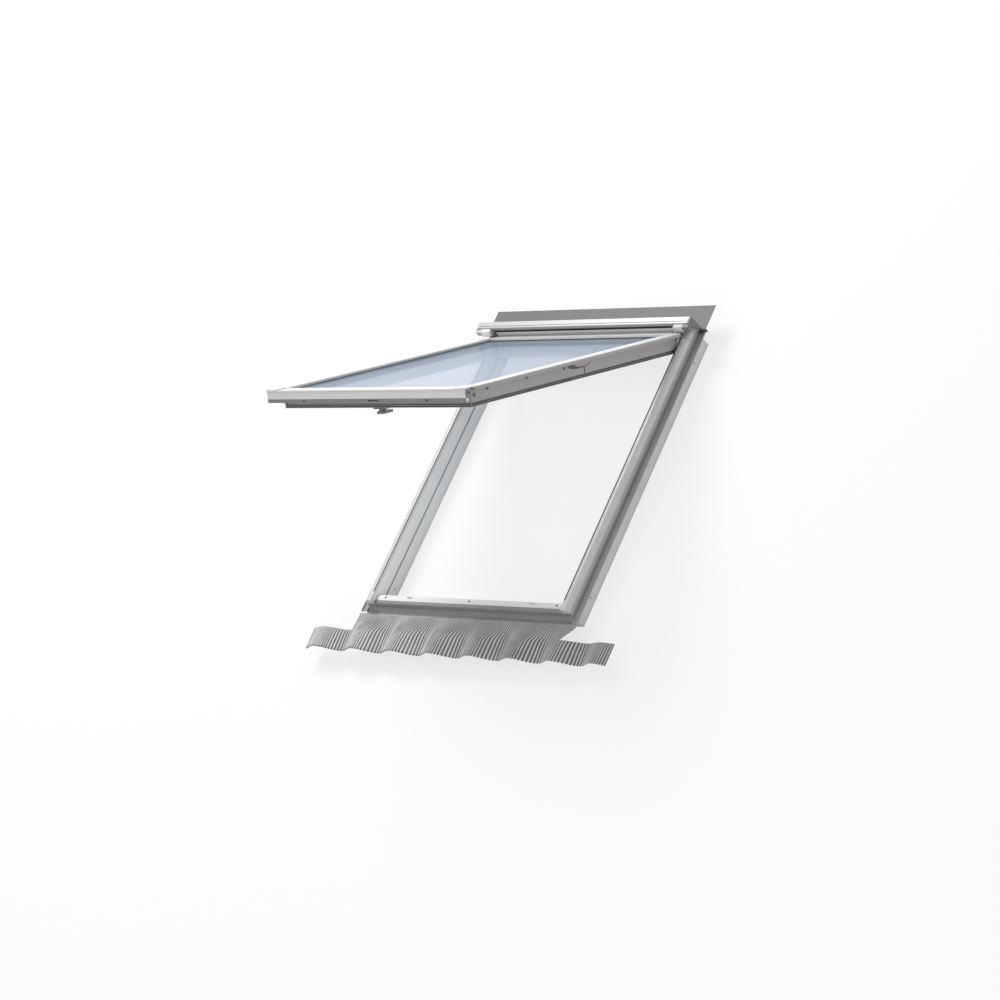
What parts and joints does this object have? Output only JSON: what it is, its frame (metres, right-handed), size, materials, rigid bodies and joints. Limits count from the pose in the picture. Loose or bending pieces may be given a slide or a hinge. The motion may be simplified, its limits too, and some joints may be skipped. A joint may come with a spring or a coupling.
{
  "type": "top-hung roof window",
  "caption": "Top-hung roof window swung open on two hinge arms, with covers, flashing, a pleated apron and a centre pivot that lets the sash turn over.",
  "frame": {"origin": "middle of the frame's underside", "axes": "+X along the eave, +Y up the slope towards the hinge, +Z out of the roof"},
  "size_m": [1.696, 1.75, 1.1078],
  "materials": {
    "white_lacquered_wood": "white satin lacquer over wood",
    "cover_metal": "light grey satin paint",
    "casing_metal": "warm grey satin paint",
    "dark_flashing": "dark grey matt paint",
    "apron_metal": "mid grey matt paint",
    "rubber_seal": "matt black",
    "dark_plastic": "matt dark grey",
    "light_plastic": "matt light grey",
    "zinc_steel": "zinc plated",
    "glass": "clear, faint blue tint",
    "spacer_metal": "satin",
    "handle_metal": "satin"
  },
  "bodies": {
    "frame": {"frame_head": "white_lacquered_wood", "frame_sill": "white_lacquered_wood", "frame_seal": "rubber_seal", "frame_jamb_right": "white_lacquered_wood", "frame_jamb_left": "white_lacquered_wood", "side_cover_right": "cover_metal", "side_cover_left": "cover_metal", "upper_side_cover_right": "cover_metal", "upper_side_cover_left": "cover_metal", "side_channel_right": "dark_flashing", "side_channel_left": "dark_flashing", "hood_end_cap_right": "dark_plastic", "hood_end_cap_left": "dark_plastic", "hood_corner_right": "light_plastic", "hood_corner_left": "light_plastic", "hinge_bracket_right": "zinc_steel", "hinge_bracket_left": "zinc_steel", "bottom_frame_cover": "cover_metal", "apron_rail": "apron_metal", "apron_flashing": "apron_metal", "top_flashing": "dark_flashing", "hood": "cover_metal", "sill_screws": "zinc_steel", "sill_strikers": "zinc_steel"},
    "hinge_arms": {"hinge_arm_right": "zinc_steel", "hinge_arm_left": "zinc_steel", "upper_sash_cover_right": "cover_metal", "upper_sash_cover_left": "cover_metal", "upper_casing_right": "casing_metal", "upper_casing_left": "casing_metal", "pivot_shield_right": "dark_plastic", "pivot_shield_left": "dark_plastic", "pivot_plate_right": "casing_metal", "pivot_plate_left": "casing_metal"},
    "sash": {"sash_top_rail": "white_lacquered_wood", "sash_bottom_rail": "white_lacquered_wood", "sash_stile_right": "white_lacquered_wood", "sash_stile_left": "white_lacquered_wood", "lower_sash_cover_right": "cover_metal", "lower_sash_cover_left": "cover_metal", "lower_casing_right": "casing_metal", "lower_casing_left": "casing_metal", "sash_corner_right": "dark_plastic", "sash_corner_left": "dark_plastic", "pivot_pin_right": "zinc_steel", "pivot_pin_left": "zinc_steel", "casing_screws_right": "zinc_steel", "casing_screws_left": "zinc_steel", "inner_pane": "glass", "outer_pane": "glass", "pane_spacer": "spacer_metal", "glazing_bed": "rubber_seal", "glazing_seal": "rubber_seal", "bottom_sash_cover": "cover_metal", "top_sash_cover": "cover_metal", "bottom_seal": "rubber_seal", "side_seal_right": "rubber_seal", "side_seal_left": "rubber_seal", "handle_base": "handle_metal"},
    "handle": {"handle_lever": "handle_metal"}
  },
  "joints": [
    {"name": "main_hinge", "type": "hinge", "parent": "frame", "child": "hinge_arms", "pos_m": [0, 0.652, 0.145], "axis": [1, 0, 0], "range_deg": [0, 45]},
    {"name": "centre_pivot", "type": "hinge", "parent": "hinge_arms", "child": "sash", "pos_m": [0, 0.19874, 0.59826], "axis": [-1, 0, 0], "range_deg": [0, 160]},
    {"name": "handle_turn", "type": "hinge", "parent": "sash", "child": "handle", "pos_m": [0, -0.31249, 0.96807], "axis": [0, 0.7071, 0.7071], "range_deg": [0, 90]}
  ]
}
